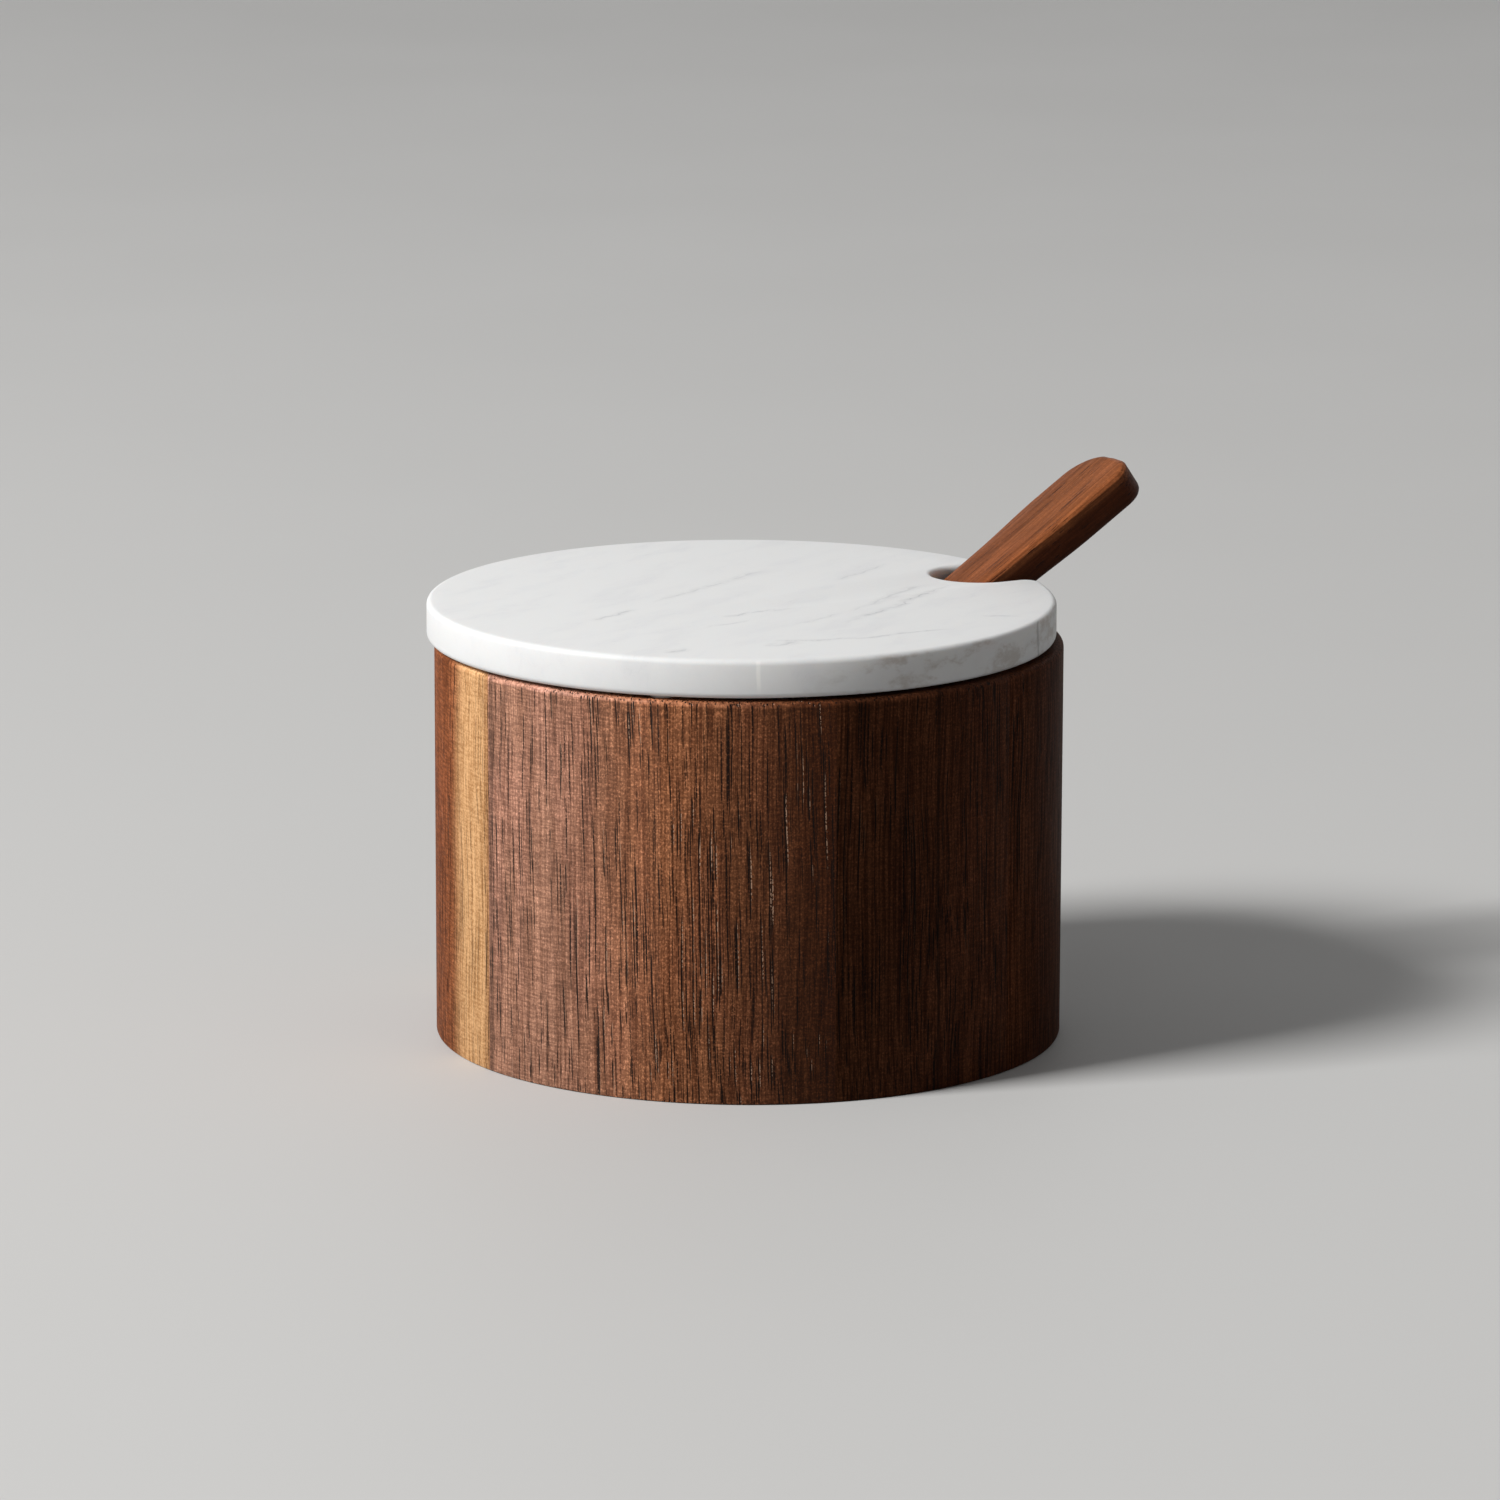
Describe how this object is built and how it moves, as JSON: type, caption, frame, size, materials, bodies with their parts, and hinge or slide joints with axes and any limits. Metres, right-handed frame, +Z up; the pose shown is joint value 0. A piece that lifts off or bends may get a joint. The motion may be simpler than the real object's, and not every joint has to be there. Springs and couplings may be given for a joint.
{
  "type": "salt cellar",
  "caption": "Round wooden salt pot with a flat marble lid that lifts off, and a wooden spoon that leans in the pot and comes out through a notch in the lid.",
  "frame": {"origin": "centre of the pot's base, on the surface that it stands on", "axes": "+Z up along the pot's axis, -Y towards the front, +X to the right of someone in front; the lid's notch is at the right and a little to the back"},
  "size_m": [0.1143, 0.1, 0.0872],
  "materials": {
    "acacia_sapwood": "oiled, satin",
    "acacia_heartwood": "oiled, satin",
    "acacia_dark_heartwood": "oiled, satin",
    "marble": "honed",
    "silicone": "matte, translucent white",
    "clear_pad": "clear, slightly tacky",
    "acacia_spoon": "oiled, satin"
  },
  "bodies": {
    "pot": {"board_far_left": "acacia_sapwood", "board_left": "acacia_heartwood", "board_centre": "acacia_heartwood", "board_right": "acacia_dark_heartwood", "board_far_right": "acacia_dark_heartwood"},
    "lid": {"marble_lid": "marble", "locating_ring": "silicone", "rest_pads": "clear_pad"},
    "spoon": {"spoon": "acacia_spoon"}
  },
  "joints": [
    {"name": "lid_lift", "type": "slide", "parent": "pot", "child": "lid", "axis": [0, 0, 1], "range_m": [0, 0.075]},
    {"name": "spoon_draw", "type": "slide", "parent": "pot", "child": "spoon", "axis": [0.7407, 0.3613, 0.5664], "range_m": [0, 0.05]}
  ]
}
